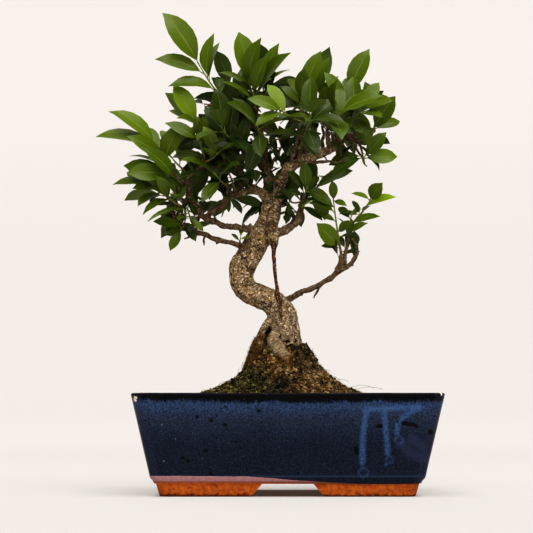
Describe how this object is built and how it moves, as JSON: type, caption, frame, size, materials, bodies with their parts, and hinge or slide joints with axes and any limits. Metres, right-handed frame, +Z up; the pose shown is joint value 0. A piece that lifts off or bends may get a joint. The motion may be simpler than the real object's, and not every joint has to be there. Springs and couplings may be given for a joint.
{
  "type": "potted bonsai tree",
  "caption": "Small-leaved fig grown as an S-shaped bonsai over exposed roots, in a rectangular glazed pot on feet.",
  "frame": {"origin": "middle of the whole object's footprint box, at table height", "axes": "+Z up along the tree; +X to the right and +Y away, seen from the picture side, which is -Y"},
  "size_m": [0.3162, 0.201, 0.4451],
  "materials": {
    "glaze": "dark blue speckled gloss glaze with paler runs, bare terracotta below",
    "plastic": "dull black mesh",
    "moss": "dull crumbly soil under olive moss",
    "bark": "rough grey-brown bark with pale flecks",
    "leaf": "smooth, waxy mid green",
    "deep_leaf": "smooth, waxy dark green",
    "young_leaf": "smooth, waxy yellow-green"
  },
  "bodies": {
    "root": {"pot": "glaze", "drain_mesh_left": "plastic", "drain_mesh_right": "plastic", "soil": "moss", "tree": "bark", "shoot_top_left": "leaf", "shoot_left_crest": "young_leaf", "shoot_top_crown": "leaf", "shoot_top_mid": "leaf", "shoot_top_front": "leaf", "shoot_top_right": "leaf", "shoot_top_slim": "leaf", "shoot_high_right": "leaf", "shoot_right_crown": "leaf", "shoot_right_end": "leaf", "shoot_yellow": "young_leaf", "shoot_far_left": "leaf", "shoot_left_high": "leaf", "shoot_left_fork": "young_leaf", "shoot_left_mid_front": "leaf", "shoot_left_out": "leaf", "shoot_left_under": "leaf", "shoot_left_drop": "leaf", "shoot_left_hang": "leaf", "shoot_drape_up": "leaf", "shoot_drape_mid": "leaf", "shoot_drape_out": "young_leaf", "shoot_right_inner": "leaf", "shoot_right_inner_drop": "leaf", "shoot_back_low": "deep_leaf", "shoot_inner_drop": "deep_leaf", "shoot_left_back_high": "leaf", "shoot_left_back_out": "leaf", "shoot_left_back_low": "leaf", "shoot_left_top_back": "leaf", "shoot_mid_left_front": "deep_leaf", "shoot_mid_front": "deep_leaf", "shoot_mid_right_front": "deep_leaf", "shoot_right_front": "leaf", "shoot_right_high_front": "leaf", "shoot_inner_left": "deep_leaf", "shoot_inner_left_low": "deep_leaf", "shoot_right_inner_back": "leaf", "shoot_right_notch": "leaf", "shoot_core_top": "deep_leaf", "shoot_core_crown": "deep_leaf", "shoot_core_left": "deep_leaf", "shoot_core_middle": "deep_leaf", "shoot_core_low": "deep_leaf", "shoot_core_right": "deep_leaf", "shoot_core_front": "deep_leaf", "shoot_back_top_left": "deep_leaf", "shoot_back_top": "deep_leaf", "shoot_back_top_right": "deep_leaf", "shoot_back_right": "deep_leaf", "shoot_back_right_low": "deep_leaf", "shoot_back_mid": "deep_leaf", "shoot_back_mid_left": "deep_leaf", "shoot_sprout": "young_leaf"}
  },
  "joints": []
}
